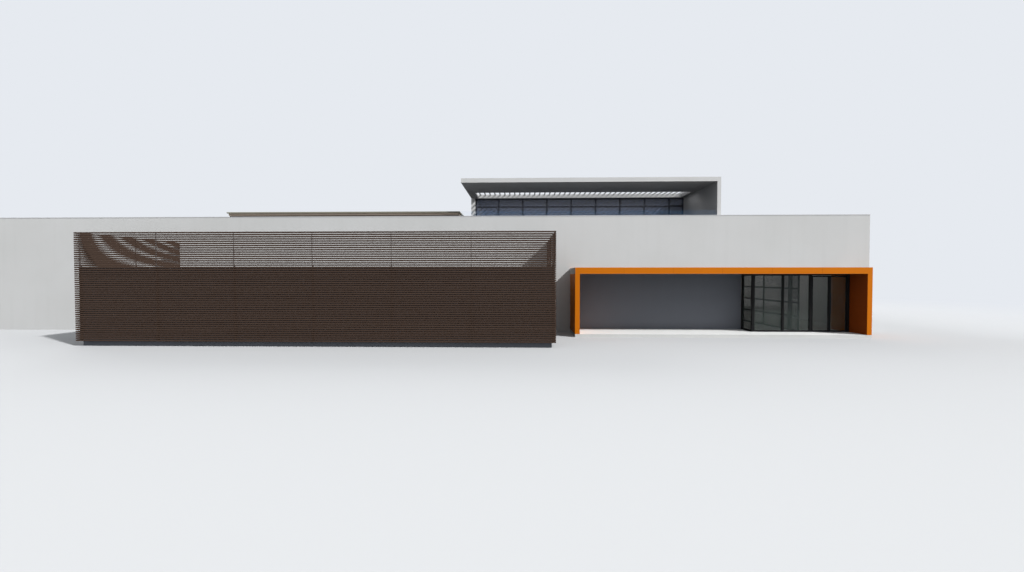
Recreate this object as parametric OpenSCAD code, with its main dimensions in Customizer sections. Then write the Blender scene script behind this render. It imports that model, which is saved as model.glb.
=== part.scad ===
// Supermarket building as a scale model, 1:2, in millimetres.
// A long rendered hall with a glazed entrance in an orange portal, a low block behind a slat screen,
// and a glazed upper storey that stands back on the roof under a deep white frame.
// The origin is on the ground under the middle of the whole outline; the front faces -Y.

/* [Hall] */
// Width of the hall, left to right
hall_w = 26840; // [22000:10:34000]
// Depth of the hall, front wall face to rear wall face
hall_d = 15000; // [10500:10:20000]
// Height of the hall's walls, without their coping
hall_h = 3435; // [3200:5:3900]
// Thickness of the outer walls
wall_t = 130; // [90:5:180]
// Thickness of the roof deck
deck_t = 130; // [80:5:200]
// Height of the parapet above the roof deck
parapet_h = 305; // [150:5:450]
// Height of the floor above the ground
floor_h = 85; // [60:5:120]

/* [Coping] */
// Thickness of the coping on the parapet
coping_t = 15; // [8:1:30]
// Distance the coping stands out past the wall face
coping_out = 5; // [3:1:30]

/* [Portal] */
// Distance from the portal to the hall's right end
portal_end = 870; // [600:10:2000]
// Outer width of the portal
portal_w = 7830; // [7000:10:8500]
// Height of the portal's top above the ground
portal_h = 1880; // [1700:5:2100]
// Distance the portal stands out from the front wall
portal_out = 1220; // [900:10:1600]
// Width of a portal jamb
jamb_w = 125; // [80:5:200]
// Thickness of the canopy
canopy_t = 169; // [120:1:220]

/* [Entrance lobby] */
// Width of the glazed lobby, out to the right jamb
lobby_w = 2686; // [2500:10:3400]
// Distance the lobby stands out from the front wall
lobby_out = 603; // [400:5:800]
// Width of the lobby's corner post
corner_post_w = 80; // [60:1:120]
// Width of the slim posts
post_w = 55; // [30:1:70]
// Width of the end post at the jamb
end_post_w = 50; // [30:1:70]
// Depth of posts and rails, front to back
post_d = 60; // [40:1:80]
// Height of the top and bottom rails
rail_h = 40; // [30:1:60]
// Width of the two-leaf door bay between its posts
door_bay_w = 987; // [800:1:1150]
// Thickness of the glass
glass_t = 12; // [6:1:20]

/* [Door leaves] */
// Width of a leaf's frame bars
leaf_bar = 32; // [24:1:45]
// Thickness of a leaf
leaf_t = 26; // [20:1:36]
// Clearance round a door leaf
leaf_gap = 6; // [5:1:10]
// Length of a pull handle
pull_l = 600; // [300:10:900]
// Diameter of a pull handle
pull_d = 16; // [12:1:24]
// Diameter of the standoffs that hold a pull handle
standoff_d = 10; // [6:1:11]
// Distance from a pull handle's end to its standoff
standoff_in = 75; // [30:1:120]
// Distance from the leaf to the middle of its pull handle
pull_out = 30; // [20:1:40]
// Diameter of a leaf's pivot pins
pivot_d = 14; // [8:1:18]
// Play between a pivot pin and the floor or head rail that it bears on
pivot_play = 0.3; // [0.1:0.1:0.8]

/* [Glazed partition] */
// Distance from the right jamb to the partition's middle
partition_x = 1355; // [1200:5:1500]
// Length of the partition from the lobby front into the hall
partition_l = 3050; // [2400:10:3600]
// Width of the partition's slim posts and rails
partition_bar = 36; // [24:1:50]
// Length of the partition's broad post
broad_post_l = 150; // [100:5:200]
// Distance from the lobby front to the broad post
broad_post_y = 380; // [300:5:420]
// Number of panes one above the other
partition_rows = 4; // [3:1:6]

/* [Side block] */
// Distance from the block to the portal
block_gap = 738; // [500:2:1500]
// Width of the block
block_w = 11075; // [9000:10:13000]
// Height of the block
block_h = 1870; // [1600:5:2100]
// Distance the block stands out from the front wall
block_out = 2940; // [2200:10:3600]
// Thickness of the block's walls
block_wall_t = 110; // [80:5:150]
// Thickness of the block's roof
block_roof_t = 100; // [70:5:150]
// Width of the opening between block and hall
block_open_w = 3000; // [2000:10:4000]
// Height of the opening between block and hall, above the floor
block_open_h = 1400; // [1200:10:1480]

/* [Slat screen] */
// Height of a slat
slat_h = 35; // [24:1:42]
// Depth of a slat, front to back
slat_d = 22; // [16:1:30]
// Bevel on a slat's outer edges
slat_bevel = 4; // [1:0.5:6]
// Distance from one slat to the next
slat_pitch = 50.36; // [45:0.01:60]
// Height of the lowest slat above the ground
screen_foot = 120; // [80:5:200]
// Number of slats one above the other
slats = 51; // [44:1:60]
// Depth of the upright steel fins that carry the slats
carrier_d = 68; // [40:1:90]
// Thickness of the fins
carrier_w = 8; // [5:1:40]
// Number of fins along the front
front_carriers = 7; // [5:1:14]
// Number of fins along each side
side_carriers = 3; // [2:1:5]

/* [Upper storey] */
// Distance from the raised roof to the upper storey
upper_gap = 321; // [100:1:1000]
// Height of the upper roof's top above the roof deck
upper_rise = 1470; // [1300:5:1900]
// Thickness of the upper roof
upper_roof_t = 130; // [100:5:200]
// Depth of the terrace, from the parapet to the windows
terrace_d = 2695; // [2200:5:3000]
// Depth of the room behind the windows, to its rear face
room_d = 3600; // [2500:10:4500]
// Thickness of the right-hand fin wall
fin_t = 110; // [80:2:160]
// Thickness of the left-hand wall
upper_left_t = 136; // [80:2:180]
// Thickness of the rear wall
upper_rear_t = 110; // [80:5:150]

/* [Upper windows] */
// Distance from the left wall to the second mullion
first_bay_w = 832; // [600:2:1000]
// Distance from one mullion to the next
mullion_pitch = 879; // [700:1:1000]
// Width of a mullion
mullion_w = 34; // [20:1:50]
// Depth of the window frame, front to back
window_d = 60; // [40:1:80]
// Distance from the upper roof's underside down to the transom's middle
transom_drop = 286; // [200:2:450]

/* [Open strip in the upper roof] */
// Length of the strip, left to right, which sets the width of the upper storey
strip_w = 7240; // [5000:10:8000]
// Width of the strip, front to back
strip_d = 981; // [700:1:1100]
// Distance from the strip to the windows
strip_back = 126; // [100:1:200]
// Distance from the left wall to the strip
strip_x = 120; // [60:1:200]
// Distance from the strip to the fin wall
strip_end = 144; // [60:1:300]
// Distance from one bar of the strip's sun screen to the next
bar_pitch = 175; // [120:1:250]
// Width of a bar
bar_w = 40; // [20:1:80]
// Height of a bar
bar_h = 30; // [16:1:90]

/* [Terrace balustrade] */
// Height of the glass balustrade's top above the parapet's coping
balustrade_rise = 164; // [100:2:400]
// Height of the rail that holds the glass
balustrade_foot = 60; // [40:1:100]

/* [Raised roof] */
// Width of the raised roof's top
raised_w = 8213; // [6000:1:8300]
// Depth of the raised roof's top
raised_d = 5200; // [3000:10:6000]
// Height of the raised roof's top above the roof deck
raised_rise = 770; // [600:5:1100]
// Thickness of the raised roof's top
raised_top_t = 40; // [25:1:90]
// Distance the top stands out over its fascia band
raised_over = 45; // [20:1:150]
// Height of the fascia band under the top
band_h = 75; // [40:1:120]
// Distance the fascia band stands out from the walls below it
band_out = 20; // [10:1:40]
// Thickness of the raised roof's walls
raised_wall_t = 90; // [60:5:120]
// Distance from the front wall's face to the raised roof
raised_y = 2015; // [1000:5:2500]

/* [Hidden] */

white = [0.78, 0.78, 0.78];
grey = [0.36, 0.37, 0.39];
orange = [0.77, 0.43, 0.09];
slat_brown = [0.27, 0.22, 0.20];
black = [0.08, 0.08, 0.09];
pane = [0.30, 0.34, 0.38, 0.5];
steel = [0.62, 0.63, 0.64];
concrete = [0.62, 0.62, 0.60];
roof_brown = [0.55, 0.50, 0.43];

// The outline runs from the slats' face to the rear coping, and its middle is the origin.
screen_out = carrier_d + slat_d;
outline_d = screen_out + block_out + hall_d + coping_out;
front_y = -outline_d / 2 + screen_out + block_out;
left_x = -hall_w / 2;
inner_y = front_y + wall_t;
rear_y = front_y + hall_d;
deck_top = hall_h - parapet_h;
deck_z = deck_top - deck_t;

soffit_z = portal_h - canopy_t;
portal_right = -left_x - portal_end;
portal_left = portal_right - portal_w;
lobby_right = portal_right - jamb_w;
lobby_left = lobby_right - lobby_w;
lobby_y = front_y - lobby_out;
lobby_clear_h = soffit_z - floor_h;
door_right = lobby_right - end_post_w;
door_left = door_right - door_bay_w;
middle_post = (lobby_left + corner_post_w + door_left - post_w) / 2;
leaf_w = (door_bay_w - 3 * leaf_gap) / 2;
leaf_z = floor_h + leaf_gap;
leaf_h = lobby_clear_h - rail_h - 2 * leaf_gap;
leaf_y = lobby_y + (post_d - leaf_t) / 2;
pivot_in = leaf_t / 2;
partition_mid = lobby_right - partition_x;
partition_y = lobby_y + post_d;

block_right = portal_left - block_gap;
block_left = block_right - block_w;
block_y = front_y - block_out;
open_left = (block_left + block_right - block_open_w) / 2;
open_right = open_left + block_open_w;
open_top = floor_h + block_open_h;
screen_left_x = block_left - screen_out;
screen_right_x = block_right + screen_out;
screen_top = screen_foot + (slats - 1) * slat_pitch + slat_h;

raised_y0 = front_y + raised_y;
raised_right = block_left + raised_w;
raised_top = deck_top + raised_rise;
raised_soffit = raised_top - raised_top_t;

upper_left = raised_right + upper_gap;
upper_y = inner_y + coping_out;
window_left = upper_left + upper_left_t;
strip_left = window_left + strip_x;
window_right = strip_left + strip_w + strip_end;
upper_right = window_right + fin_t;
window_y = inner_y + terrace_d;
upper_rear_y = window_y + room_d;
upper_top = deck_top + upper_rise;
upper_soffit = upper_top - upper_roof_t;
strip_y = window_y - strip_back - strip_d;
bars = floor(strip_w / bar_pitch);
transom_z = upper_soffit - transom_drop;
mullions = 1 + ceil((window_right - window_left - mullion_w - first_bay_w) / mullion_pitch);

// How far a cut runs past the faces that it opens
cut = 1;

// A box from its lowest corner to its highest
module span(a, b) {
    translate(a) cube(b - a);
}

module floor_slab() {
    color(concrete)
        span([left_x + wall_t, inner_y, 0], [-left_x - wall_t, rear_y - wall_t, floor_h]);
}

// One stretch of the front wall, from x0 to x1 and from z0 to z1
module front_wall(x0, x1, z0, z1) {
    span([x0, front_y, z0], [x1, inner_y, z1]);
}

module front_wall_left() {
    color(white) front_wall(left_x + wall_t, open_left, 0, hall_h);
}

module front_wall_over_opening() {
    color(white) front_wall(open_left, open_right, open_top, hall_h);
    color(concrete) front_wall(open_left, open_right, 0, floor_h);
}

module front_wall_middle() {
    color(white) front_wall(open_right, portal_left + jamb_w, 0, hall_h);
}

module portal_back_wall() {
    color(grey) front_wall(portal_left + jamb_w, lobby_left, 0, soffit_z);
}

module front_wall_over_portal() {
    color(white) front_wall(portal_left + jamb_w, portal_right, soffit_z, hall_h);
    color(concrete) front_wall(lobby_left, portal_right, 0, floor_h);
}

module front_wall_right() {
    color(white) front_wall(portal_right, -left_x - wall_t, 0, hall_h);
}

module left_wall() {
    color(white) span([left_x, front_y, 0], [left_x + wall_t, rear_y, hall_h]);
}

module right_wall() {
    color(white) span([-left_x - wall_t, front_y, 0], [-left_x, rear_y, hall_h]);
}

module rear_wall() {
    color(white)
        span([left_x + wall_t, rear_y - wall_t, 0], [-left_x - wall_t, rear_y, hall_h]);
}

module roof_deck() {
    color(concrete)
        span([left_x + wall_t, inner_y, deck_z], [-left_x - wall_t, rear_y - wall_t, deck_top]);
}

// A ring of metal caps that stands out past both faces of the parapet
module parapet_coping() {
    cap_w = wall_t + 2 * coping_out;
    color(white) translate([0, 0, hall_h]) linear_extrude(coping_t) difference() {
        translate([left_x - coping_out, front_y - coping_out])
            square([hall_w + 2 * coping_out, hall_d + 2 * coping_out]);
        translate([left_x - coping_out + cap_w, front_y - coping_out + cap_w])
            square([hall_w + 2 * coping_out - 2 * cap_w, hall_d + 2 * coping_out - 2 * cap_w]);
    }
}

module entrance_platform() {
    color(concrete)
        span([portal_left, front_y - portal_out, 0], [portal_right, front_y, floor_h]);
}

// The left jamb ends at the wall; the right one runs on through it and lines the way in
module portal_jambs() {
    color(orange) {
        span([portal_left, front_y - portal_out, floor_h],
            [portal_left + jamb_w, front_y, soffit_z]);
        span([lobby_right, front_y - portal_out, floor_h], [portal_right, inner_y, soffit_z]);
    }
}

module portal_canopy() {
    color(orange)
        span([portal_left, front_y - portal_out, soffit_z], [portal_right, front_y, portal_h]);
}

// Posts of the lobby: corner, middle, beside the door, at the jamb, and against the front wall
module lobby_posts() {
    wall_post_x = lobby_left + corner_post_w;
    color(black) {
        lobby_post(lobby_left, wall_post_x);
        lobby_post(middle_post, middle_post + post_w);
        lobby_post(door_left - post_w, door_left);
        lobby_post(door_right, lobby_right);
        span([lobby_left, front_y - post_w, floor_h], [lobby_left + post_d, front_y, soffit_z]);
    }
}

module lobby_post(x0, x1) {
    span([x0, lobby_y, floor_h], [x1, lobby_y + post_d, soffit_z]);
}

// Rails at the floor and under the canopy; the door bay has only the one at its head
module lobby_rails() {
    color(black) for (z = [floor_h, soffit_z - rail_h]) {
        lobby_rail(lobby_left + corner_post_w, middle_post, z);
        lobby_rail(middle_post + post_w, door_left - post_w, z);
        span([lobby_left, lobby_y + post_d, z],
            [lobby_left + post_d, front_y - post_w, z + rail_h]);
    }
    color(black) lobby_rail(door_left, door_right, soffit_z - rail_h);
}

module lobby_rail(x0, x1, z) {
    span([x0, lobby_y, z], [x1, lobby_y + post_d, z + rail_h]);
}

// Two panes in the front and one in the return to the front wall
module lobby_glass() {
    inset = (post_d - glass_t) / 2;
    color(pane) {
        lobby_pane(lobby_left + corner_post_w, middle_post, inset);
        lobby_pane(middle_post + post_w, door_left - post_w, inset);
        span([lobby_left + inset, lobby_y + post_d, floor_h + rail_h],
            [lobby_left + inset + glass_t, front_y - post_w, soffit_z - rail_h]);
    }
}

module lobby_pane(x0, x1, inset) {
    y0 = lobby_y + inset;
    span([x0, y0, floor_h + rail_h], [x1, y0 + glass_t, soffit_z - rail_h]);
}

// A leaf is drawn from its hinge side towards the middle of the bay. Its hinge stile has a round
// edge about the pivot, and a pivot pin at the foot and the head.
module leaf_frame() {
    color(black) {
        difference() {
            union() {
                translate([pivot_in, 0, 0]) cube([leaf_w - pivot_in, leaf_t, leaf_h]);
                translate([pivot_in, pivot_in, 0]) cylinder(d = leaf_t, h = leaf_h, $fn = 48);
            }
            translate([leaf_bar, -cut, leaf_bar])
                cube([leaf_w - 2 * leaf_bar, leaf_t + 2 * cut, leaf_h - 2 * leaf_bar]);
        }
        for (z = [-leaf_gap + pivot_play, leaf_h])
            translate([pivot_in, pivot_in, z])
                cylinder(d = pivot_d, h = leaf_gap - pivot_play, $fn = 32);
    }
}

module leaf_glass() {
    color(pane) translate([leaf_bar, (leaf_t - glass_t) / 2, leaf_bar])
        cube([leaf_w - 2 * leaf_bar, glass_t, leaf_h - 2 * leaf_bar]);
}

// An upright tube on two standoffs, on the leaf's outer face near its free edge
module leaf_pull() {
    x = leaf_w - leaf_bar / 2;
    z = (leaf_h - pull_l) / 2;
    color(steel) translate([x, 0, z]) {
        translate([0, -pull_out, 0]) cylinder(d = pull_d, h = pull_l, $fn = 32);
        for (end = [standoff_in, pull_l - standoff_in])
            translate([0, -pull_out, end]) rotate([-90, 0, 0])
                cylinder(d = standoff_d, h = pull_out, $fn = 24);
    }
}

module place_left_leaf() {
    translate([door_left + leaf_gap, leaf_y, leaf_z]) children();
}

module place_right_leaf() {
    translate([door_right - leaf_gap, leaf_y, leaf_z]) mirror([1, 0, 0]) children();
}

module door_leaf_left() {
    place_left_leaf() leaf_frame();
}

module door_leaf_right() {
    place_right_leaf() leaf_frame();
}

module door_glass_left() {
    place_left_leaf() leaf_glass();
}

module door_glass_right() {
    place_right_leaf() leaf_glass();
}

module door_pull_left() {
    place_left_leaf() leaf_pull();
}

module door_pull_right() {
    place_right_leaf() leaf_pull();
}

// The partition: posts that stand from the lobby front into the hall, with rails in four rows
partition_x0 = partition_mid - partition_bar / 2;
partition_end = partition_y + partition_l;
broad_y0 = lobby_y + broad_post_y;
back_y0 = (broad_y0 + broad_post_l + partition_end) / 2 - partition_bar / 2;
row_h = (lobby_clear_h - partition_bar) / partition_rows;
// Each bay of the partition, from one post's face to the next
partition_bays = [
    [partition_y + partition_bar, broad_y0],
    [broad_y0 + broad_post_l, back_y0],
    [back_y0 + partition_bar, partition_end - partition_bar]
];

module partition_post(y, l) {
    span([partition_x0, y, floor_h], [partition_x0 + partition_bar, y + l, soffit_z]);
}

module partition_frame() {
    color(black) {
        partition_post(partition_y, partition_bar);
        partition_post(broad_y0, broad_post_l);
        partition_post(back_y0, partition_bar);
        partition_post(partition_end - partition_bar, partition_bar);
        for (bay = partition_bays, row = [0 : partition_rows]) {
            z = floor_h + row * row_h;
            span([partition_x0, bay[0], z],
                [partition_x0 + partition_bar, bay[1], z + partition_bar]);
        }
    }
}

module partition_glass() {
    x0 = partition_mid - glass_t / 2;
    color(pane)
        for (bay = partition_bays, row = [0 : partition_rows - 1]) {
            z = floor_h + row * row_h + partition_bar;
            span([x0, bay[0], z], [x0 + glass_t, bay[1], z + row_h - partition_bar]);
        }
}

module block_floor() {
    color(concrete)
        span([block_left + block_wall_t, block_y + block_wall_t, 0],
            [block_right - block_wall_t, front_y, floor_h]);
}

module block_front_wall() {
    color(grey)
        span([block_left + block_wall_t, block_y, 0],
            [block_right - block_wall_t, block_y + block_wall_t, block_h]);
}

module block_side_walls() {
    color(grey) for (x = [block_left, block_right - block_wall_t])
        span([x, block_y, 0], [x + block_wall_t, front_y, block_h]);
}

module block_roof() {
    color(concrete)
        span([block_left + block_wall_t, block_y + block_wall_t, block_h - block_roof_t],
            [block_right - block_wall_t, front_y, block_h]);
}

// One slat along +X, with its outer edges bevelled; its outer face is at y = 0
module slat(l) {
    rotate([90, 0, 90]) linear_extrude(l) polygon([
        [slat_bevel, 0], [slat_d, 0], [slat_d, slat_h], [slat_bevel, slat_h],
        [0, slat_h - slat_bevel], [0, slat_bevel]
    ]);
}

module slat_stack(l) {
    color(slat_brown)
        for (i = [0 : slats - 1])
            translate([0, 0, screen_foot + i * slat_pitch]) slat(l);
}

module screen_front() {
    translate([screen_left_x, block_y - screen_out, 0])
        slat_stack(screen_right_x - screen_left_x);
}

module screen_left() {
    translate([screen_left_x, front_y, 0]) rotate([0, 0, -90])
        slat_stack(block_out + carrier_d);
}

module screen_right() {
    translate([screen_right_x, block_y - carrier_d, 0]) rotate([0, 0, 90])
        slat_stack(block_out + carrier_d);
}

// Upright fins between the block's walls and the slats, free above the block's roof
module screen_carriers() {
    h = screen_top - screen_foot;
    front_step = (block_w - carrier_w) / (front_carriers - 1);
    side_step = (block_out - 2 * carrier_w) / (side_carriers - 1);
    color(black) {
        for (i = [0 : front_carriers - 1])
            translate([block_left + i * front_step, block_y - carrier_d, screen_foot])
                cube([carrier_w, carrier_d, h]);
        for (x = [block_left - carrier_d, block_right], i = [0 : side_carriers - 1])
            translate([x, block_y + carrier_w + i * side_step, screen_foot])
                cube([carrier_d, carrier_w, h]);
    }
}

// The upper roof, with the open strip cut through it in front of the windows
module upper_roof() {
    color(white) difference() {
        span([upper_left, upper_y, upper_soffit], [upper_right, upper_rear_y, upper_top]);
        span([strip_left, strip_y, upper_soffit - cut],
            [strip_left + strip_w, strip_y + strip_d, upper_top + cut]);
    }
}

// Bars across the strip from front to back, flush with the roof's top
module strip_bars() {
    color(white)
        for (i = [0 : bars - 1])
            translate([strip_left + (i + 0.5) * strip_w / bars - bar_w / 2, strip_y, upper_top - bar_h])
                cube([bar_w, strip_d, bar_h]);
}

module upper_fin_wall() {
    color(white)
        span([window_right, upper_y, deck_top], [upper_right, upper_rear_y, upper_soffit]);
}

module upper_left_wall() {
    color(white)
        span([upper_left, window_y - upper_left_t, deck_top],
            [window_left, upper_rear_y, upper_soffit]);
}

module upper_rear_wall() {
    color(white)
        span([window_left, upper_rear_y - upper_rear_t, deck_top],
            [window_right, upper_rear_y, upper_soffit]);
}

// Where each mullion starts: the first at the left wall, the last against the fin wall
function mullion_x(i) = i == 0 ? window_left
    : min(window_left + first_bay_w + (i - 1) * mullion_pitch, window_right - mullion_w);

// Panes lie between neighbouring mullions, below and above the transom
module upper_window_frame() {
    color(black) {
        for (i = [0 : mullions])
            span([mullion_x(i), window_y, deck_top],
                [mullion_x(i) + mullion_w, window_y + window_d, upper_soffit]);
        for (i = [0 : mullions - 1],
             z = [deck_top, transom_z - mullion_w / 2, upper_soffit - mullion_w])
            span([mullion_x(i) + mullion_w, window_y, z],
                [mullion_x(i + 1), window_y + window_d, z + mullion_w]);
    }
}

module upper_window_glass() {
    y0 = window_y + (window_d - glass_t) / 2;
    rows = [
        [deck_top + mullion_w, transom_z - mullion_w / 2],
        [transom_z + mullion_w / 2, upper_soffit - mullion_w]
    ];
    color(pane)
        for (i = [0 : mullions - 1], row = rows)
            span([mullion_x(i) + mullion_w, y0, row[0]], [mullion_x(i + 1), y0 + glass_t, row[1]]);
}

// A low rail on the roof deck behind the parapet, which holds the glass of the balustrade
module balustrade_rail() {
    color(steel)
        span([upper_left, upper_y, deck_top],
            [window_right, upper_y + 3 * glass_t, deck_top + balustrade_foot]);
}

module balustrade_glass() {
    color(pane)
        span([upper_left, upper_y + glass_t, deck_top + balustrade_foot],
            [window_right, upper_y + 2 * glass_t, hall_h + coping_t + balustrade_rise]);
}

// Walls on the roof deck, with a fascia band round their head under the overhanging top
module raised_roof_walls() {
    color(roof_brown) {
        raised_ring(raised_over + band_out, deck_top, raised_soffit - band_h);
        raised_ring(raised_over, raised_soffit - band_h, raised_soffit);
    }
}

// A ring of wall from z0 to z1, whose outer face stands back from the roof's edge
module raised_ring(back, z0, z1) {
    inner = raised_over + band_out + raised_wall_t;
    translate([block_left, raised_y0, z0]) linear_extrude(z1 - z0) difference() {
        translate([back, back]) square([raised_w - 2 * back, raised_d - 2 * back]);
        translate([inner, inner]) square([raised_w - 2 * inner, raised_d - 2 * inner]);
    }
}

module raised_roof_top() {
    color(roof_brown)
        span([block_left, raised_y0, raised_soffit],
            [raised_right, raised_y0 + raised_d, raised_top]);
}

floor_slab();
front_wall_left();
front_wall_over_opening();
front_wall_middle();
portal_back_wall();
front_wall_over_portal();
front_wall_right();
left_wall();
right_wall();
rear_wall();
roof_deck();
parapet_coping();
entrance_platform();
portal_jambs();
portal_canopy();
lobby_posts();
lobby_rails();
lobby_glass();
door_leaf_left();
door_leaf_right();
door_glass_left();
door_glass_right();
door_pull_left();
door_pull_right();
partition_frame();
partition_glass();
block_floor();
block_front_wall();
block_side_walls();
block_roof();
screen_front();
screen_left();
screen_right();
screen_carriers();
upper_roof();
strip_bars();
upper_fin_wall();
upper_left_wall();
upper_rear_wall();
upper_window_frame();
upper_window_glass();
balustrade_rail();
balustrade_glass();
raised_roof_walls();
raised_roof_top();
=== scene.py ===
"""The looks of a supermarket building as a 1:2 scale model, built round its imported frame.
Metres, +Z up, and the front faces -Y. The sections follow the building from the ground up."""
import math
import random

import bmesh
import bpy
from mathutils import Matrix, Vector


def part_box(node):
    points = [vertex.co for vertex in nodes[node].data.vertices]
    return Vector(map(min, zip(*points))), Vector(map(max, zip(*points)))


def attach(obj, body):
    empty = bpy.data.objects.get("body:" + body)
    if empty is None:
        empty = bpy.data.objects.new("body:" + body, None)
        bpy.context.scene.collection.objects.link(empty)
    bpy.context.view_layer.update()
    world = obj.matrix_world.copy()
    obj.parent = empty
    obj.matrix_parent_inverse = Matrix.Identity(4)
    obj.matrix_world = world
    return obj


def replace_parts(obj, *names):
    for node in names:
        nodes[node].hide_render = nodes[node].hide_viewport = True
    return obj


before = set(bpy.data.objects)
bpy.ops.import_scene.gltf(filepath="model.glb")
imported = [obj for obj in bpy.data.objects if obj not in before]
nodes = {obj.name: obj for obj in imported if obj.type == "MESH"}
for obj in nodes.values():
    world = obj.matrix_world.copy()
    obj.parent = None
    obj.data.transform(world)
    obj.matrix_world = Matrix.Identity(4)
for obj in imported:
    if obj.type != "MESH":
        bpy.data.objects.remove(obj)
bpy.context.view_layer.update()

# Camera: at eye height in front of the building, looking square at it, a little down and a
# little to the left, through a wide 15 mm lens.
EYE = (3.330, -18.730, 1.625)
LENS_MM = 15
LOOK_DOWN, LOOK_LEFT = math.radians(1.208), math.radians(1.544)

camera = bpy.data.objects.new("camera", bpy.data.cameras.new("camera"))
camera.data.lens = LENS_MM
camera.location = EYE
camera.rotation_euler = (math.pi / 2 - LOOK_DOWN, 0, LOOK_LEFT)
bpy.context.scene.collection.objects.link(camera)
bpy.context.scene.camera = camera
bpy.context.scene.view_settings.view_transform = "Standard"


# Studio: a pale floor that fades into a pale backdrop, a key light from the front right, high
# enough to draw the slanted shadows, a broad soft light from behind, a dim even sky, and a
# hidden lamp in each of the two rooms that show through glass.
BACKDROP = (230, 234, 240)
FLOOR = (184, 185, 186)
FLOOR_BOUNCE = (129, 130, 131)
FLOOR_SIZE = 600
FADE_FROM, FADE_TO = 16.0, 34.0
KEY_LIGHT = {"towards": (-1.0, 0.6, -0.95), "strength": 4.4, "spread": 2.5}
BACK_LIGHT = {"towards": (0.7, -0.75, -0.5), "strength": 2.0, "spread": 40}
SKY = (244, 248, 253)
SKY_STRENGTH = 0.65
HALF_SEEN = 0.5
ROOM_LAMPS = {"hall": {"middle": (8.5, 1.0, 0.5), "width": 8.0, "depth": 6.0, "power": 220},
              "upper": {"middle": (5.3, -1.4, 3.3), "width": 7.0, "depth": 2.0, "power": 24}}


def paint(*screen):
    """A colour as a screen shows it, 0 to 255, as the linear light that shaders take."""
    return tuple(((v / 255 + 0.055) / 1.055) ** 2.4 for v in screen) + (1.0,)


class Tone:
    """A socket in a set of shader nodes. Sums, products and comparisons add Math nodes, and a
    comparison is 1 where it holds and 0 elsewhere."""

    def __init__(self, tree, socket=None):
        self.tree, self.socket = tree, socket

    def node(self, kind, settings=None, sockets=None, out=0):
        """Any other node: its settings come first, then its sockets' values or links."""
        made = self.tree.nodes.new(kind)
        for name, value in (settings or {}).items():
            if name == "stops":
                for stop, (at, colour) in zip(made.color_ramp.elements, value):
                    stop.position, stop.color = at, colour
            else:
                setattr(made, name, value)
        for name, value in (sockets or {}).items():
            if isinstance(value, Tone):
                self.tree.links.new(value.socket, made.inputs[name])
            else:
                made.inputs[name].default_value = value
        return Tone(self.tree, made.outputs[out])

    def also(self, out):
        """Another output of the same node."""
        return Tone(self.tree, self.socket.node.outputs[out])

    def maths(self, operation, *terms):
        return self.node("ShaderNodeMath", {"operation": operation}, dict(enumerate(terms)))

    def blend(self, low, high):
        """The colour low where this value is 0, and high where it is 1."""
        return self.node("ShaderNodeMix", {"data_type": "RGBA"}, {0: self, 6: low, 7: high}, out=2)

    def between(self, low, high):
        """0 below low and 1 above high, with a smooth way from one to the other."""
        return self.node("ShaderNodeMapRange", {"interpolation_type": "SMOOTHSTEP"},
                         {"Value": self, "From Min": low, "From Max": high})

    def __add__(self, other):
        return self.maths("ADD", self, other)

    def __sub__(self, other):
        return self.maths("SUBTRACT", self, other)

    def __rsub__(self, other):
        return self.maths("SUBTRACT", other, self)

    def __mul__(self, other):
        return self.maths("MULTIPLY", self, other)

    def __truediv__(self, other):
        return self.maths("DIVIDE", self, other)

    def __lt__(self, other):
        return self.maths("LESS_THAN", self, other)

    def __gt__(self, other):
        return self.maths("GREATER_THAN", self, other)

    __radd__, __rmul__ = __add__, __mul__


def light(name, towards, strength, spread):
    """A far light that shines this way, softened by a spread in degrees."""
    lamp = bpy.data.objects.new(name, bpy.data.lights.new(name, "SUN"))
    lamp.data.energy = strength
    lamp.data.angle = math.radians(spread)
    lamp.rotation_euler = Vector(towards).to_track_quat("-Z", "Y").to_euler()
    bpy.context.scene.collection.objects.link(lamp)


light("key_light", **KEY_LIGHT)
light("back_light", **BACK_LIGHT)

for room, facts in ROOM_LAMPS.items():
    lamp = bpy.data.objects.new(room + "_lamp", bpy.data.lights.new(room + "_lamp", "AREA"))
    lamp.data.shape = "RECTANGLE"
    lamp.data.size, lamp.data.size_y = facts["width"], facts["depth"]
    lamp.data.energy = facts["power"]
    lamp.location = facts["middle"]
    lamp.rotation_euler = (math.pi, 0, 0)
    lamp.visible_camera = False
    bpy.context.scene.collection.objects.link(lamp)


def seen_ray(start):
    """1 where the camera, a reflection or a view through glass looks, and 0 for stray light."""
    ray = start.node("ShaderNodeLightPath")
    return ray + ray.also("Is Glossy Ray") + ray.also("Is Transmission Ray") > HALF_SEEN


world = bpy.data.worlds.new("studio")
bpy.context.scene.world = world
world.use_nodes = True
sky = Tone(world.node_tree)
sky_light = sky.node("ShaderNodeBackground", None, {"Color": paint(*SKY), "Strength": SKY_STRENGTH})
backdrop = sky.node("ShaderNodeBackground", None, {"Color": paint(*BACKDROP), "Strength": 1.0})
sky_mix = sky.node("ShaderNodeMixShader", None, {0: seen_ray(sky), 1: sky_light, 2: backdrop})
world.node_tree.links.new(sky_mix.socket, world.node_tree.nodes["World Output"].inputs[0])

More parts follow.
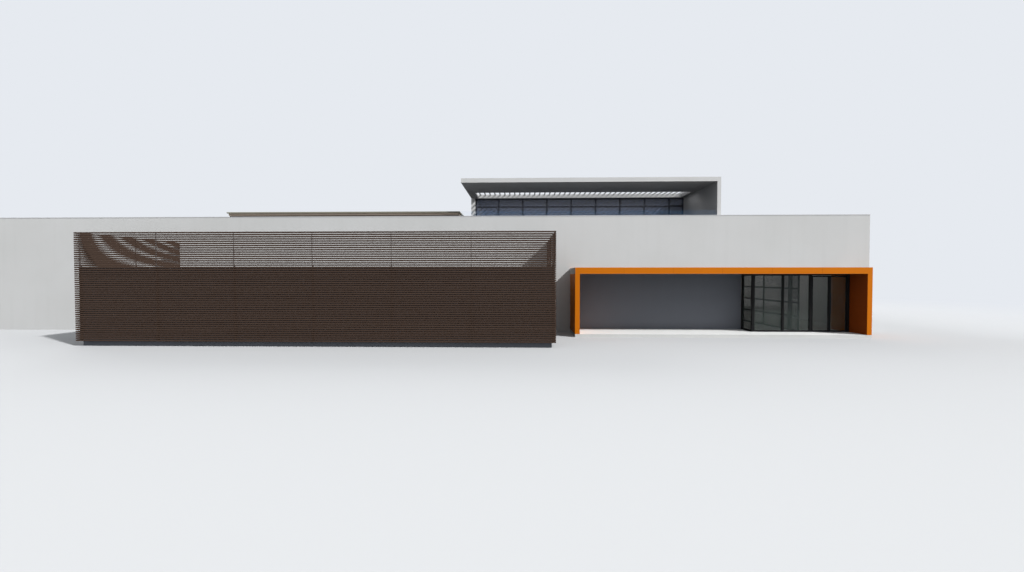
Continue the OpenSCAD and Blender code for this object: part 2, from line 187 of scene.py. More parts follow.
floor_paint = bpy.data.materials.new("studio_floor")
floor_paint.use_nodes = True
start = Tone(floor_paint.node_tree)
seen = seen_ray(start)
spot = start.node("ShaderNodeNewGeometry")
radius = start.node("ShaderNodeVectorMath", {"operation": "LENGTH"}, {0: spot}, out="Value")
fade = radius.between(FADE_FROM, FADE_TO) * seen
surface = start.node("ShaderNodeBsdfDiffuse", None,
                     {"Color": seen.blend(paint(*FLOOR_BOUNCE), paint(*FLOOR))})
glow = start.node("ShaderNodeEmission", None, {"Color": paint(*BACKDROP), "Strength": 1.0})
floor_mix = start.node("ShaderNodeMixShader", None, {0: fade, 1: surface, 2: glow})
floor_output = floor_paint.node_tree.nodes["Material Output"]
floor_paint.node_tree.links.new(floor_mix.socket, floor_output.inputs[0])

half = FLOOR_SIZE / 2
floor_mesh = bpy.data.meshes.new("studio_floor")
floor_mesh.from_pydata([(-half, -half, 0), (half, -half, 0), (half, half, 0), (-half, half, 0)],
                       [], [(0, 1, 2, 3)])
floor_mesh.materials.append(floor_paint)
floor = bpy.data.objects.new("studio_floor", floor_mesh)
bpy.context.scene.collection.objects.link(floor)


# Outer walls of the hall: masonry with a thin render, floated to a fine grain, which is white
# outside; in the portal's recess it is grey, painted shade for the shade there. The coat runs
# over all the walls in one, so its waves and grain are in the building's own frame.
RENDER_WHITE = (200, 200, 199)
RENDER_SHADE = (191, 191, 189)
PAINTED_SHADE_WALL_GREY = (106, 109, 116)
WALL_TONE_PAINTED_SHADE = (101, 104, 110)
HALL_WALLS = ("front_wall_left", "front_wall_over_opening", "front_wall_middle",
              "front_wall_over_portal", "front_wall_right", "left_wall", "right_wall",
              "rear_wall")


def new_finish(name, **sockets):
    """A material whose shader gets these values; a socket's words are joined by _ here."""
    material = bpy.data.materials.new(name)
    material.use_nodes = True
    shader = material.node_tree.nodes["Principled BSDF"]
    for socket, value in sockets.items():
        shader.inputs[socket.replace("_", " ")].default_value = value
    return material, Tone(material.node_tree)


def feed(material, socket, tone):
    shader = material.node_tree.nodes["Principled BSDF"]
    material.node_tree.links.new(tone.socket, shader.inputs[socket])


def spot_on(start, stretch=(1, 1, 1)):
    """The place on the building in metres, with each axis stretched by a factor."""
    here = start.node("ShaderNodeTexCoord", out="Object")
    return start.node("ShaderNodeVectorMath", {"operation": "MULTIPLY"}, {0: here, 1: stretch})


def noise(at, scale, detail=2.0, roughness=0.5):
    return at.node("ShaderNodeTexNoise", None,
                   {"Vector": at, "Scale": scale, "Detail": detail, "Roughness": roughness})


def bump(material, height, depth, strength=1.0):
    feed(material, "Normal", height.node(
        "ShaderNodeBump", None, {"Height": height, "Distance": depth, "Strength": strength}))


def render_coat(name, white, shade):
    """Floated render: fine sand grain, slow trowel waves, and faint run-off marks."""
    coat, start = new_finish(name, Roughness=0.88, Specular_IOR_Level=0.25)
    here = spot_on(start)
    waves = noise(here, scale=0.55, detail=3.0)
    runs = noise(spot_on(start, stretch=(5.0, 5.0, 0.35)), scale=1.0)
    grain = noise(here, scale=95.0, detail=3.0, roughness=0.65)
    tone = waves.between(0.3, 0.75) * 0.5 + runs.between(0.45, 0.8) * 0.2 + grain * 0.35
    feed(coat, "Base Color", tone.blend(paint(*white), paint(*shade)))
    bump(coat, grain * 0.6 + waves * 0.4, depth=0.0012, strength=0.5)
    return coat


def dress(node, *finishes):
    """Puts finishes on a CAD node in place of its plain colour."""
    mesh = nodes[node].data
    mesh.materials.clear()
    for finish in finishes:
        mesh.materials.append(finish)
    return mesh


render_finish = render_coat("white_render", RENDER_WHITE, RENDER_SHADE)
for wall in HALL_WALLS:
    dress(wall, render_finish)
grey_render = render_coat("grey_render", PAINTED_SHADE_WALL_GREY, WALL_TONE_PAINTED_SHADE)
# The wall in the portal's recess gets the grey render: painted shade for the shade in the recess.
dress("portal_back_wall", grey_render)


# Floors: slabs of pale floated concrete, sealed inside the hall and block. The strips that
# close the floor under the two openings in the front wall belong to the same slabs.
CONCRETE = (196, 195, 191)
CONCRETE_SHADE = (176, 175, 171)
CONCRETE_ROUGHNESS = 0.7
PORE_LEVEL = 0.68


def concrete_finish(name, pale, shade, roughness):
    """Concrete with clouds of tone, fine pores and a slightly uneven top."""
    concrete, start = new_finish(name, Specular_IOR_Level=0.3)
    here = spot_on(start)
    clouds = noise(here, scale=1.1, detail=5.0, roughness=0.6)
    pores = noise(here, scale=160.0, roughness=0.7) > PORE_LEVEL
    tone = clouds.between(0.25, 0.8) * 0.8 + pores * 0.3
    feed(concrete, "Base Color", tone.blend(paint(*pale), paint(*shade)))
    feed(concrete, "Roughness", roughness + clouds * 0.15)
    bump(concrete, clouds * 0.5 - pores * 0.5, depth=0.0008, strength=0.6)
    return concrete


floor_concrete = concrete_finish("floor_concrete", CONCRETE, CONCRETE_SHADE, CONCRETE_ROUGHNESS)
for slab in ("floor_slab", "block_floor"):
    dress(slab, floor_concrete)

floor_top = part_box("floor_slab")[1].z
for wall in ("front_wall_over_opening", "front_wall_over_portal"):
    mesh = dress(wall, render_finish, floor_concrete)
    for face in mesh.polygons:
        face.material_index = int(face.center.z <= floor_top)


# Coping on the parapet: folded caps of white coated aluminium sheet about 1.5 m long, open by a
# narrow joint over splice plates and mitred at the corners, with legs that clasp the wall.
CAP_LENGTH = 1.5
CAP_JOINT = 0.004
CAP_SHEET = 0.0015
CAP_LEG = 0.008
CAP_FALL = 0.004
SPLICE_LENGTH = 0.07
COATED_WHITE = (189, 189, 189)
PAINT_SHADE = 0.96
AXES = Vector((1, 0, 0)), Vector((0, 1, 0)), Vector((0, 0, 1))
RIGHT, BACK, UP = AXES


def run(shape, profile, start, end, across, up, mitre=(0, 0)):
    """Adds a bar of this profile, whose points are (across, up), from start to end. Mitre is
    how far each end moves along the bar for each metre across it."""
    verts, faces = shape
    start, end, across, up = Vector(start), Vector(end), Vector(across), Vector(up)
    along = (end - start).normalized()
    first, count = len(verts), len(profile)
    for base, slant in ((start, mitre[0]), (end, mitre[1])):
        verts += [base + across * u + up * v + along * slant * u for u, v in profile]
    faces.append([first + i for i in range(count)])
    faces.append([first + count + i for i in reversed(range(count))])
    for i in range(count):
        j = (i + 1) % count
        faces.append([first + i, first + j, first + count + j, first + count + i])


def settle(name, shape, finish, body="building"):
    """Makes one object of a shape's faces, which rides on a body of the frame."""
    verts, faces = shape
    mesh = bpy.data.meshes.new(name)
    mesh.from_pydata(verts, [], faces)
    skin = bmesh.new()
    skin.from_mesh(mesh)
    bmesh.ops.recalc_face_normals(skin, faces=skin.faces)
    skin.to_mesh(mesh)
    skin.free()
    mesh.materials.append(finish)
    piece = bpy.data.objects.new(name, mesh)
    bpy.context.scene.collection.objects.link(piece)
    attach(piece, body)
    return piece


def coated_finish(name, colour, roughness=0.45, specular=0.5):
    """Sheet metal with a baked coat of paint: even, a little orange peel, slight satin."""
    metal, start = new_finish(name, Specular_IOR_Level=specular)
    here = spot_on(start)
    cloud = noise(here, scale=0.8)
    peel = noise(here, scale=260.0, detail=1.0)
    darker = tuple(v * PAINT_SHADE for v in colour)
    feed(metal, "Base Color", cloud.blend(paint(*colour), paint(*darker)))
    feed(metal, "Roughness", roughness + (cloud - 0.5) * 0.12)
    bump(metal, peel, depth=0.0003, strength=0.25)
    return metal


coping_lo, coping_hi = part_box("parapet_coping")
wall_lo, wall_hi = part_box("left_wall")
cap_width = wall_hi.x - wall_lo.x + 2 * (wall_lo.x - coping_lo.x)
cap_height = coping_hi.z - coping_lo.z


def cap_profile(inset, leg):
    """An upside-down channel whose top falls towards the roof, inset by so much sheet."""
    outer, inner, sheet = inset, cap_width - inset, CAP_SHEET
    high, low = cap_height - inset, cap_height - CAP_FALL - inset
    return [(outer, -leg), (outer, high), (inner, low), (inner, -leg),
            (inner - sheet, -leg), (inner - sheet, low - sheet),
            (outer + sheet, high - sheet), (outer + sheet, -leg)]


def sides_of(lo, hi, z):
    """Where each side of a level rectangle starts and ends, round it with its inside at left."""
    around = ((lo.x, lo.y), (hi.x, lo.y), (hi.x, hi.y), (lo.x, hi.y))
    corners = [Vector((x, y, z)) for x, y in around]
    return zip(corners, corners[1:] + corners[:1])


caps, splices = ([], []), ([], [])
for start, end in sides_of(coping_lo, coping_hi, coping_lo.z):
    along = (end - start).normalized()
    inward = UP.cross(along)
    count = round((end - start).length / CAP_LENGTH)
    step = (end - start).length / count
    for k in range(count):
        mitre = (1 if k == 0 else 0, -1 if k == count - 1 else 0)
        run(caps, cap_profile(0, CAP_LEG), start + along * (k * step + CAP_JOINT / 2),
            start + along * ((k + 1) * step - CAP_JOINT / 2), inward, UP, mitre)
        if k:
            middle = start + along * k * step
            reach = along * SPLICE_LENGTH / 2
            run(splices, cap_profile(CAP_SHEET, CAP_LEG - CAP_SHEET), middle - reach,
                middle + reach, inward, UP)
white_metal = coated_finish("coated_white_metal", COATED_WHITE, roughness=0.5, specular=0.3)
coping = settle("coping_caps", caps, white_metal)
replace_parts(coping, "parapet_coping")
settle("coping_splices", splices, white_metal)


# Roof of the hall: a grey membrane in welded sheets on the deck. At the parapet and at the walls
# that stand on the deck it turns up over a fillet and is held by a metal bar.
MEMBRANE = (128, 130, 132)
MEMBRANE_SHADE = (112, 114, 116)
SHEET_WIDTH = 1.0
LAP_MARGIN = 0.1
WELD_WIDTH, WELD_HEIGHT = 0.045, 0.0025
UPSTAND_HEIGHT, UPSTAND_SHEET, FILLET = 0.16, 0.004, 0.035
BAR_HEIGHT, BAR_DEPTH = 0.02, 0.006
EDGING = 0.05
MILL_GREY = (176, 178, 180)
FACING = 0.5
deck_lo, deck_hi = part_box("roof_deck")


def membrane_finish(name, node=None, edging=None):
    """Roofing sheets, matt and each of its own tone, with faint dust where water has stood. On
    a node with an edging they stop at folded metal of that colour all round."""
    sheet, start = new_finish(name, Roughness=0.8, Specular_IOR_Level=0.3)
    here = spot_on(start)
    x = start.node("ShaderNodeSeparateXYZ", None, {0: here})
    y = x.also("Y")
    pools = noise(here, scale=0.45, detail=4.0, roughness=0.6)
    weave = noise(here, scale=180.0, detail=1.0)
    number = x.maths("FLOOR", (x - deck_lo.x) / SHEET_WIDTH)
    own = start.node("ShaderNodeTexWhiteNoise", {"noise_dimensions": "1D"}, {"W": number})
    tone = pools.between(0.3, 0.8) * 0.45 + weave * 0.15 + own * 0.4
    colour = tone.blend(paint(*MEMBRANE), paint(*MEMBRANE_SHADE))
    if node:
        lo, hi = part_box(node)
        inside = ((x > lo.x + EDGING) * (x < hi.x - EDGING)
                  * (y > lo.y + EDGING) * (y < hi.y - EDGING))
        colour = inside.blend(paint(*edging), colour)
    feed(sheet, "Base Color", colour)
    bump(sheet, weave * 0.3 + pools, depth=0.0015, strength=0.4)
    return sheet


def dress_top(node, sides, top):
    """Dresses a node, with a finish of their own for its faces that look up."""
    for face in dress(node, sides, top).polygons:
        face.material_index = int(face.normal.z > FACING)


def welds_between(left, right):
    """Where sheets lap, going across: every roof has its laps on the same lines."""
    first = math.ceil((left - deck_lo.x) / SHEET_WIDTH + LAP_MARGIN)
    last = math.floor((right - deck_lo.x) / SHEET_WIDTH - LAP_MARGIN)
    return [deck_lo.x + i * SHEET_WIDTH for i in range(first, last + 1)]


def rib(shape, width, height, x, y0, y1, z):
    """A low rib along a roof's depth, such as the lapped edge of a sheet or a seam."""
    run(shape, [(0, 0), (0, height), (width, height), (width, 0)], (x, y0, z), (x, y1, z),
        RIGHT, UP)


def ring(shape, profile, lo, hi, z, outward):
    """A profile run round a rectangle, mitred, with its first axis out of it or into it."""
    for start, end in sides_of(lo, hi, z):
        inward = UP.cross((end - start).normalized())
        side, slant = (-inward, -1) if outward else (inward, 1)
        run(shape, profile, start, end, side, UP, (slant, -slant))


UPSTAND = [(0, 0), (FILLET, 0), (UPSTAND_SHEET, FILLET), (UPSTAND_SHEET, UPSTAND_HEIGHT),
           (0, UPSTAND_HEIGHT)]
CLAMP_BAR = [(0, UPSTAND_HEIGHT), (BAR_DEPTH, UPSTAND_HEIGHT),
             (BAR_DEPTH, UPSTAND_HEIGHT + BAR_HEIGHT), (0, UPSTAND_HEIGHT + BAR_HEIGHT)]

raised_lo, raised_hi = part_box("raised_roof_walls")
side_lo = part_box("upper_left_wall")[0]
fin_lo, fin_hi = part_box("upper_fin_wall")
room_lo = Vector((side_lo.x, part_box("upper_window_frame")[0].y))
room_hi = Vector((fin_hi.x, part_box("upper_rear_wall")[1].y))
membrane = membrane_finish("roof_membrane")
dress_top("roof_deck", render_finish, membrane)

welds, clamps = ([], []), ([], [])
for x in welds_between(deck_lo.x, deck_hi.x):
    covered = [(lo.y, hi.y) for lo, hi in ((raised_lo, raised_hi), (room_lo, room_hi))
               if lo.x - WELD_WIDTH < x < hi.x]
    near, far = covered[0] if covered else (deck_hi.y, deck_hi.y)
    rib(welds, WELD_WIDTH, WELD_HEIGHT, x, deck_lo.y, near, deck_hi.z)
    if covered:
        rib(welds, WELD_WIDTH, WELD_HEIGHT, x, far, deck_hi.y, deck_hi.z)
around_room = ((room_lo.x, side_lo.y), (room_lo.x, room_hi.y),
               (room_hi.x, room_hi.y), (room_hi.x, fin_lo.y))
room_corners = [Vector((x, y, deck_hi.z)) for x, y in around_room]
for mitre, start, end in zip(((0, 1), (-1, 1), (-1, 0)), room_corners, room_corners[1:]):
    outward = UP.cross((end - start).normalized())
    run(welds, UPSTAND, start, end, outward, UP, mitre)
    run(clamps, CLAMP_BAR, start, end, outward, UP, mitre)
ring(welds, UPSTAND, deck_lo, deck_hi, deck_hi.z, outward=False)
ring(clamps, CLAMP_BAR, deck_lo, deck_hi, deck_hi.z, outward=False)
ring(welds, UPSTAND, raised_lo, raised_hi, deck_hi.z, outward=True)
ring(clamps, CLAMP_BAR, raised_lo, raised_hi, deck_hi.z, outward=True)
mill_metal = coated_finish("mill_aluminium", MILL_GREY, roughness=0.35)
settle("roof_welds_and_upstands", welds, membrane)
settle("upstand_clamping_bars", clamps, mill_metal)


# Entrance platform: the slab of pale concrete under the portal, cast with fair-faced sides, and
# brushed on top while it is still wet, so that its top comes out rougher; its paler top colour
# is painted light for the sun on it.
PLATFORM, PLATFORM_SHADE, PLATFORM_ROUGHNESS = (208, 208, 205), (198, 198, 195), 0.72
PAINTED_LIGHT_TOP, TOP_TONE_PAINTED_LIGHT, BRUSHED_ROUGHNESS = (219, 219, 217), (211, 211, 209), 0.78

platform_side = concrete_finish("platform_concrete", PLATFORM, PLATFORM_SHADE, PLATFORM_ROUGHNESS)
# The top's paler colour is painted light.
platform_top = concrete_finish("brushed_concrete_painted_light", PAINTED_LIGHT_TOP, TOP_TONE_PAINTED_LIGHT, BRUSHED_ROUGHNESS)
dress_top("entrance_platform", platform_side, platform_top)


# Portal: a canopy and two jambs clad in orange composite panels with a satin coat, which meet
# at hairline joints. The canopy is rendered at its ends, with painted shade in a grey render
# underneath and a membrane on top. The right jamb runs through the wall and lines the way in
# with panels whose deeper orange in front of the lobby glass is painted shade.
ORANGE = (203, 112, 10)
ORANGE_PAINTED_SHADE = (126, 56, 14)
PANEL_PITCH = 1.305
PANEL_JOINT = 0.0035
JOINT_BROWN, JOINT_STRENGTH = (60, 30, 8), 0.75
PANEL_SHADE = 0.95
# A grey render for undersides and inner faces that stand in shade: painted shade.
PAINTED_SHADE_UNDERSIDE, UNDERSIDE_TONE_PAINTED_SHADE = (146, 146, 147), (141, 141, 142)
portal_lo, portal_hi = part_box("portal_canopy")


def panel_finish(name, outdoors, indoors):
    """Composite panels: a flat satin coat in front of the lobby glass and another behind it,
    and a fine dark joint at every panel's edge."""
    panel, start = new_finish(name, Roughness=0.5, Coat_Weight=0.03, Coat_Roughness=0.3,
                              Specular_IOR_Level=0.08)
    here = spot_on(start)
    across = start.node("ShaderNodeSeparateXYZ", None, {0: here})
    place = (across - portal_lo.x) / PANEL_PITCH
    inner = (across > portal_lo.x + PANEL_JOINT) * (across < portal_hi.x - PANEL_JOINT)
    joint = (place.maths("PINGPONG", place, 0.5) * PANEL_PITCH < PANEL_JOINT / 2) * inner
    behind = across.also("Y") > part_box("door_glass_right")[1].y
    coat = behind.blend(paint(*outdoors), paint(*indoors))
    darker = behind.blend(paint(*(v * PANEL_SHADE for v in outdoors)),
                          paint(*(v * PANEL_SHADE for v in indoors)))
    uneven = noise(here, scale=0.7).blend(coat, darker)
    feed(panel, "Base Color", (joint * JOINT_STRENGTH).blend(uneven, paint(*JOINT_BROWN)))
    bump(panel, 1 - joint, depth=0.001, strength=0.6)
    return panel


orange_panel = panel_finish("orange_panels", ORANGE, ORANGE)
soffit_painted_shade = render_coat("soffit_painted_shade", PAINTED_SHADE_UNDERSIDE, UNDERSIDE_TONE_PAINTED_SHADE)
panel_painted_shade = panel_finish("orange_panels_painted_shade", ORANGE_PAINTED_SHADE, ORANGE)
portal_middle = (portal_lo.x + portal_hi.x) / 2
# The right jamb's inner face, looking left, is a deeper orange in front of the lobby glass: painted
# shade.
for face in dress("portal_jambs", orange_panel, panel_painted_shade).polygons:
    face.material_index = int(face.normal.x < -FACING and face.center.x > portal_middle)
canopy_top = membrane_finish("canopy_membrane", "portal_canopy", ORANGE)
# The canopy's underside takes the grey render: painted shade.
for face in dress("portal_canopy", orange_panel, canopy_top, soffit_painted_shade,
                  render_finish).polygons:
    up, end = face.normal.z, abs(face.normal.x) > FACING
    face.material_index = 3 if end else 1 if up > FACING else 2 if up < -FACING else 0


# Lobby front: posts and rails of black coated aluminium, each with eased outer edges and a
# fine groove where its cover is snapped on. The rails stop against the posts.
BLACK = (18, 18, 19)
EASE = 0.003
GROOVE, GROOVE_BACK = 0.003, 0.014
FRONT_DEPTH = 0.1
SAME_POINT = 0.0001


def solids(node):
    """The lowest and highest corner of each separate solid of a CAD node, left to right."""
    mesh = bmesh.new()
    mesh.from_mesh(nodes[node].data)
    bmesh.ops.remove_doubles(mesh, verts=mesh.verts, dist=SAME_POINT)
    boxes, rest = [], set(mesh.verts)
    while rest:
        group, edge = [], [rest.pop()]
        while edge:
            vert = edge.pop()
            group.append(vert.co.copy())
            near = {e.other_vert(vert) for e in vert.link_edges} & rest
            rest -= near
            edge.extend(near)
        boxes.append(tuple(Vector(pick(v[axis] for v in group) for axis in range(3))
                           for pick in (min, max)))
    mesh.free()
    return sorted(boxes, key=lambda box: tuple(box[0]))


def covered_profile(width, depth):
    """Across and back from the outer face: eased edges, then the groove behind the cover."""
    behind = GROOVE_BACK + GROOVE
    half = [(0, depth), (0, behind), (GROOVE, behind), (GROOVE, GROOVE_BACK),
            (0, GROOVE_BACK), (0, EASE), (EASE, 0)]
    return half + [(width - x, y) for x, y in reversed(half)]


def framing_bar(shape, lo, hi, outer):
    """A bar in the place of a CAD box. Its outer face looks along -X (0) or -Y (1)."""
    size = hi - lo
    along = 2 if size.z > max(size.x, size.y) else 1 - outer
    wide = 3 - along - outer
    run(shape, covered_profile(size[wide], size[outer]), lo, lo + AXES[along] * size[along],
        AXES[wide], AXES[outer])


black_metal = coated_finish("black_coated_aluminium", BLACK, roughness=0.55, specular=0.12)
lobby_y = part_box("lobby_posts")[0].y
for part in ("lobby_posts", "lobby_rails"):
    bars = ([], [])
    for lo, hi in solids(part):
        in_return = hi.y > lobby_y + FRONT_DEPTH
        framing_bar(bars, lo, hi, outer=0 if in_return else 1)
    piece = settle(part.replace("lobby", "entrance"), bars, black_metal)
    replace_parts(piece, part)


# Glass of the lobby and the partition: clear sheets with a grey-green cast, held all round by
# black rubber gaskets on both faces.
GLASS_GREY = (58, 66, 63)
GLASS_ALPHA = 0.38
GASKET_WIDTH, GASKET_NOSE, GASKET_DEPTH = 0.007, 0.0042, 0.004
RUBBER_DARK, RUBBER_PALE = (22, 22, 23), (30, 30, 31)


def glass_finish(name, tint, alpha, gloss):
    """Float glass: smooth, with the faintest roll wave in what it reflects."""
    glass, start = new_finish(name, Base_Color=paint(*tint), Roughness=0.04, Alpha=alpha,
                              Specular_IOR_Level=gloss)
    bump(glass, noise(spot_on(start), scale=0.7, detail=1.0), depth=0.004, strength=0.15)
    return glass


def gasket_ring(shape, lo, hi):
    """Strips that frame a pane on both its faces, just inside its edges."""
    size = hi - lo
    thin = 0 if size.x < size.y else 1
    across, through = AXES[1 - thin], AXES[thin]
    strip = [(0, 0), (GASKET_WIDTH, 0), (GASKET_NOSE, GASKET_DEPTH), (0, GASKET_DEPTH)]
    for out, base in ((-through, lo), (through, lo + through * size[thin])):
        right, top = across * size[1 - thin], UP * size.z
        run(shape, strip, base, base + right, UP, out)
        run(shape, strip, base + top, base + top + right, -UP, out)
        run(shape, strip, base, base + top, across, out)
        run(shape, strip, base + right, base + right + top, -across, out)


entrance_glass = glass_finish("grey_green_glass", GLASS_GREY, GLASS_ALPHA, gloss=0.35)
rubber, start = new_finish("black_rubber", Roughness=0.75, Specular_IOR_Level=0.2)
feed(rubber, "Base Color", noise(spot_on(start), scale=30.0).blend(
    paint(*RUBBER_DARK), paint(*RUBBER_PALE)))
for part in ("lobby_glass", "partition_glass"):
    dress(part, entrance_glass)
gaskets = ([], [])
for lo, hi in solids("lobby_glass") + solids("partition_glass"):
    gasket_ring(gaskets, lo, hi)
settle("entrance_gaskets", gaskets, rubber)


# Door leaves: two narrow-framed leaves of the same black aluminium on pivots, with glass held
# in soft seals, and a long pull of blackened brushed steel on standoffs.
PULL_DARK, PULL_PALE = (34, 34, 36), (46, 46, 48)

steel, start = new_finish("blackened_steel", Metallic=1.0)
brushed = noise(spot_on(start, stretch=(1, 1, 60)), scale=14.0)
feed(steel, "Base Color", brushed.blend(paint(*PULL_DARK), paint(*PULL_PALE)))
feed(steel, "Roughness", 0.32 + brushed * 0.15)
for side in ("left", "right"):
    dress("door_leaf_" + side, black_metal)
    dress("door_glass_" + side, entrance_glass)
    dress("door_pull_" + side, steel)
    seals = ([], [])
    gasket_ring(seals, *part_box("door_glass_" + side))
    settle("door_seals_" + side, seals, rubber, "door_" + side)


# Glazed partition: the slim frame that runs back from the lobby front into the hall, of the
# same black coated aluminium, with its posts on the floor slab and the lobby's glass in it.
dress("partition_frame", black_metal)


# Side block: a low flat-roofed box behind the slats, with walls in the recess's grey render,
# painted shade for the shade behind and below the slats, and the hall's membrane on top.
# Grey render on the block's walls: painted shade for the shade behind and below the slats.
for wall in ("block_front_wall", "block_side_walls"):
    dress(wall, grey_render)
dress_top("block_roof", grey_render, membrane)
block_lo, block_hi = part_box("block_roof")
block_welds = ([], [])
for x in welds_between(block_lo.x, block_hi.x):
    rib(block_welds, WELD_WIDTH, WELD_HEIGHT, x, block_lo.y, block_hi.y, block_hi.z)
settle("block_roof_welds", block_welds, membrane)


# Slat screen: dark brown boards with eased outer edges, butted with a narrow gap over the
# steel fins in turn from row to row, and screwed into every fin. The fins are coated in the
# boards' brown; those in front are pale grey where they rise above the block, and brown below
# it as painted shade for the shade between the slats.
BOARD_DARK = (64, 50, 42)
BOARD_PALE = (72, 57, 48)
FIN_GREY = (214, 215, 215)
FIN_NARROW, FIN_SHOULDER = 0.022, 0.06
BOARD_GAP = 0.003
BOARD_EASE = 0.004
JOINT_TURNS = 3
SHORTEST_BOARD = 0.3
BOARD_SEED = 7
FACE_BACK = 0.0006
SCREW_R, SCREW_SIDES, SCREW_OUT = 0.0025, 8, 0.00048
SCREW_HEAD = [(SCREW_R * math.cos(2 * math.pi * i / SCREW_SIDES),
               SCREW_R * math.sin(2 * math.pi * i / SCREW_SIDES)) for i in range(SCREW_SIDES)]

boards, start = new_finish("dark_boards", Roughness=0.7, Specular_IOR_Level=0.1)
grain = noise(spot_on(start, stretch=(1.6, 1.6, 70)), scale=1.5, detail=4.0, roughness=0.6)
own = start.node("ShaderNodeAttribute", {"attribute_name": "tone"}, out="Fac")
feed(boards, "Base Color", (grain.between(0.25, 0.75) * 0.5 + own * 0.5).blend(
    paint(*BOARD_DARK), paint(*BOARD_PALE)))
bump(boards, grain, depth=0.0008, strength=0.5)


def board_profile(depth, height):
    """Back from the outer face and up: a board with rounded outer edges."""
    low = [(BOARD_EASE * (1 - math.sin(turn)), BOARD_EASE * (1 - math.cos(turn)))
           for turn in (0, math.pi / 4, math.pi / 2)]
    return [(depth, 0)] + low + [(u, height - v) for u, v in reversed(low)] + [(depth, height)]


def board_wall(name, node, outer, sign, stands, rng):
    """Boards in the place of a screen's slats, whose outer face looks along this axis and sign.
    They lie back a little, so that the screws stay within the slats' depth. They stop at one
    stand in three, in turn from row to row, and are screwed to them all."""
    shape, tones, screws = ([], []), [], ([], [])
    rows = sorted(solids(node), key=lambda box: box[0].z)
    along = 1 - outer
    for row, (lo, hi) in enumerate(rows):
        size = hi - lo
        profile = board_profile(size[outer] - FACE_BACK, size.z)
        face = (lo if sign < 0 else hi)[outer] - sign * FACE_BACK
        joints = [s for s in stands[row % JOINT_TURNS::JOINT_TURNS]
                  if lo[along] + SHORTEST_BOARD < s < hi[along] - SHORTEST_BOARD]
        stops = [lo[along] - BOARD_GAP / 2] + joints + [hi[along] + BOARD_GAP / 2]
        for a, b in zip(stops, stops[1:]):
            start, end = Vector((0, 0, lo.z)), Vector((0, 0, lo.z))
            start[outer] = end[outer] = face
            start[along], end[along] = a + BOARD_GAP / 2, b - BOARD_GAP / 2
            before = len(shape[1])
            run(shape, profile, start, end, AXES[outer] * -sign, UP)
            tones += [rng.random()] * (len(shape[1]) - before)
        for s in stands:
            centre = Vector((0, 0, (lo.z + hi.z) / 2))
            centre[outer], centre[along] = face, s
            run(screws, SCREW_HEAD, centre, centre + AXES[outer] * sign * SCREW_OUT,
                AXES[along], UP)
    piece = settle(name, shape, boards)
    layer = piece.data.attributes.new("tone", "FLOAT", "FACE")
    layer.data.foreach_set("value", tones)
    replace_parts(piece, node)
    settle(name + "_screws", screws, black_metal)


def fin_profile(depth, shoulder, height):
    """Back from the boards and up: as deep as the gap to the block's wall, and cut back above
    the block's roof to a narrow blade."""
    return [(0, 0), (depth, 0), (depth, shoulder), (FIN_NARROW, shoulder + FIN_SHOULDER),
            (FIN_NARROW, height), (0, height)]


carriers = solids("screen_carriers")
front_y = min(lo.y for lo, hi in carriers)
in_front = [(lo, hi) for lo, hi in carriers if lo.y < front_y + SAME_POINT]
at_sides = [(lo, hi) for lo, hi in carriers if lo.y > front_y + SAME_POINT]
front_stands = [(lo.x + hi.x) / 2 for lo, hi in in_front]
side_stands = sorted({round((lo.y + hi.y) / 2, 4) for lo, hi in at_sides})
rng = random.Random(BOARD_SEED)
board_wall("front_boards", "screen_front", 1, -1, front_stands, rng)
board_wall("left_boards", "screen_left", 0, -1, side_stands, rng)
board_wall("right_boards", "screen_right", 0, 1, side_stands, rng)

front_fins, side_fins = ([], []), ([], [])
for lo, hi in in_front:
    profile = fin_profile(hi.y - lo.y, block_hi.z - lo.z, hi.z - lo.z)
    run(front_fins, profile, lo, (hi.x, lo.y, lo.z), BACK, UP)
for lo, hi in at_sides:
    profile = fin_profile(hi.x - lo.x, block_hi.z - lo.z, hi.z - lo.z)
    face_x, inward = (lo.x, RIGHT) if hi.x < block_lo.x else (hi.x, -RIGHT)
    run(side_fins, profile, (face_x, lo.y, lo.z), (face_x, hi.y, lo.z), inward, UP)
fin_steel_painted_shade_below = coated_finish("grey_coated_steel_painted_shade_below", FIN_GREY, roughness=0.55, specular=0.2)
start = Tone(fin_steel_painted_shade_below.node_tree)
height = start.node("ShaderNodeSeparateXYZ", None, {0: spot_on(start)}, out="Z")
# Below the block's roof the front fins take the boards' brown: painted shade for the shade between
# the slats.
feed(fin_steel_painted_shade_below, "Base Color", (height > block_hi.z).blend(paint(*BOARD_DARK), paint(*FIN_GREY)))
brown_steel = coated_finish("brown_coated_steel", BOARD_DARK, roughness=0.6, specular=0.1)
for name, fins, finish, slot in (("front_fins", front_fins, fin_steel_painted_shade_below, "coping_metal"),
                                 ("side_fins", side_fins, brown_steel, "dark_metal")):
    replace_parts(settle(name, fins, finish), "screen_carriers")


# Upper storey: a deep white roof on a fin wall, with a grey render, painted shade, under the
# roof, on the fin's inner face and on the strip's right end, a membrane within a white metal
# edging on top, and painted aluminium bars across its open strip.
BAR_GREY = (160, 161, 162)

for part in ("upper_left_wall", "upper_rear_wall"):
    dress(part, render_finish)
# The fin's inner face, looking left, gets the grey render: painted shade.
for face in dress("upper_fin_wall", render_finish, soffit_painted_shade).polygons:
    face.material_index = int(face.normal.x < -FACING)
strip_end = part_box("strip_bars")[1].x
upper_top = membrane_finish("upper_membrane", "upper_roof", COATED_WHITE)
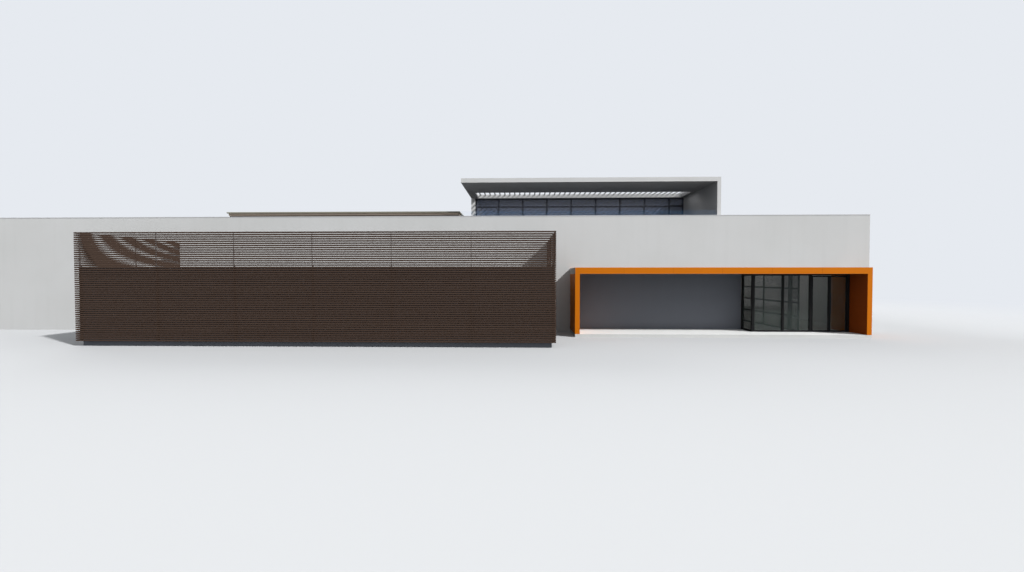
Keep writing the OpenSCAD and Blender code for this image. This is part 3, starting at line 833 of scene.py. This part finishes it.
# Under the roof and on the strip's right end the grey render is painted shade.
for face in dress("upper_roof", render_finish, upper_top, soffit_painted_shade).polygons:
    beside_strip = face.normal.x < -FACING and face.center.x > strip_end
    shaded = face.normal.z < -FACING or beside_strip
    face.material_index = 1 if face.normal.z > FACING else 2 if shaded else 0
dress("strip_bars", coated_finish("grey_white_metal", BAR_GREY))


# Upper windows: a fixed dark grey aluminium frame with one transom, and blue-grey solar glass
# in gaskets.
FRAME_GREY = (66, 68, 76)
GLASS_BLUE = (106, 116, 140)
UPPER_ALPHA = 0.41

upper_glass = glass_finish("blue_grey_glass", GLASS_BLUE, UPPER_ALPHA, gloss=0.15)
dress("upper_window_frame", coated_finish("grey_coated_aluminium", FRAME_GREY, roughness=0.55,
                                          specular=0.15))
dress("upper_window_glass", upper_glass)
upper_gaskets = ([], [])
for lo, hi in solids("upper_window_glass"):
    gasket_ring(upper_gaskets, lo, hi)
settle("upper_window_gaskets", upper_gaskets, rubber)


# Terrace balustrade: clear bluish panes that stand in a continuous aluminium shoe behind the
# parapet, with narrow gaps between them.
PANE_LENGTH, PANE_GAP, PANE_EASE = 1.33, 0.008, 0.0015
GLASS_CLEAR = (100, 156, 206)
CLEAR_ALPHA = 0.03

dress("balustrade_rail", mill_metal)
clear_glass = glass_finish("clear_glass", GLASS_CLEAR, CLEAR_ALPHA, gloss=0.15)
lo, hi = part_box("balustrade_glass")
length, thick, tall = hi.x - lo.x, hi.y - lo.y, hi.z - lo.z
pane_profile = [(0, 0), (0, tall - PANE_EASE), (PANE_EASE, tall), (thick - PANE_EASE, tall),
                (thick, tall - PANE_EASE), (thick, 0)]
count = round(length / PANE_LENGTH)
panes = ([], [])
for i in range(count):
    x0 = lo.x + length * i / count + PANE_GAP / 2
    x1 = lo.x + length * (i + 1) / count - PANE_GAP / 2
    run(panes, pane_profile, (x0, lo.y, lo.z), (x1, lo.y, lo.z), BACK, UP)
balustrade = settle("balustrade_panes", panes, clear_glass)
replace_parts(balustrade, "balustrade_glass")


# Raised roof: a low upper part of the hall's roof with dark walls, a pale brown fascia band
# and a thin overhanging sheet on top with standing seams, all of brown coated metal.
BAND_BROWN = (188, 170, 152)
WALL_BROWN = (84, 68, 58)
EDGE_BROWN = (136, 133, 118)
SHEET_BROWN = (102, 98, 88)
SEAM_PITCH, SEAM_HEIGHT, SEAM_WIDTH = 0.25, 0.012, 0.004
SEAM_END = 0.09

band_metal = coated_finish("pale_brown_metal", BAND_BROWN, roughness=0.5, specular=0.3)
wall_metal = coated_finish("dark_brown_metal", WALL_BROWN, roughness=0.5, specular=0.3)
edge_metal = coated_finish("olive_brown_metal", EDGE_BROWN, roughness=0.5, specular=0.3)
band_foot = max(v.co.z for v in nodes["raised_roof_walls"].data.vertices
                if v.co.z < raised_hi.z - SAME_POINT)
for face in dress("raised_roof_walls", wall_metal, band_metal).polygons:
    face.material_index = int(face.center.z > band_foot - SAME_POINT)
sheet_metal = coated_finish("grey_brown_metal", SHEET_BROWN, roughness=0.5, specular=0.3)
dress_top("raised_roof_top", edge_metal, sheet_metal)
top_lo, top_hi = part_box("raised_roof_top")
count = round((top_hi.x - top_lo.x) / SEAM_PITCH)
seams = ([], [])
for i in range(1, count):
    x = top_lo.x + (top_hi.x - top_lo.x) * i / count
    rib(seams, SEAM_WIDTH, SEAM_HEIGHT, x, top_lo.y + SEAM_END, top_hi.y - SEAM_END, top_hi.z)
settle("raised_roof_seams", seams, sheet_metal)
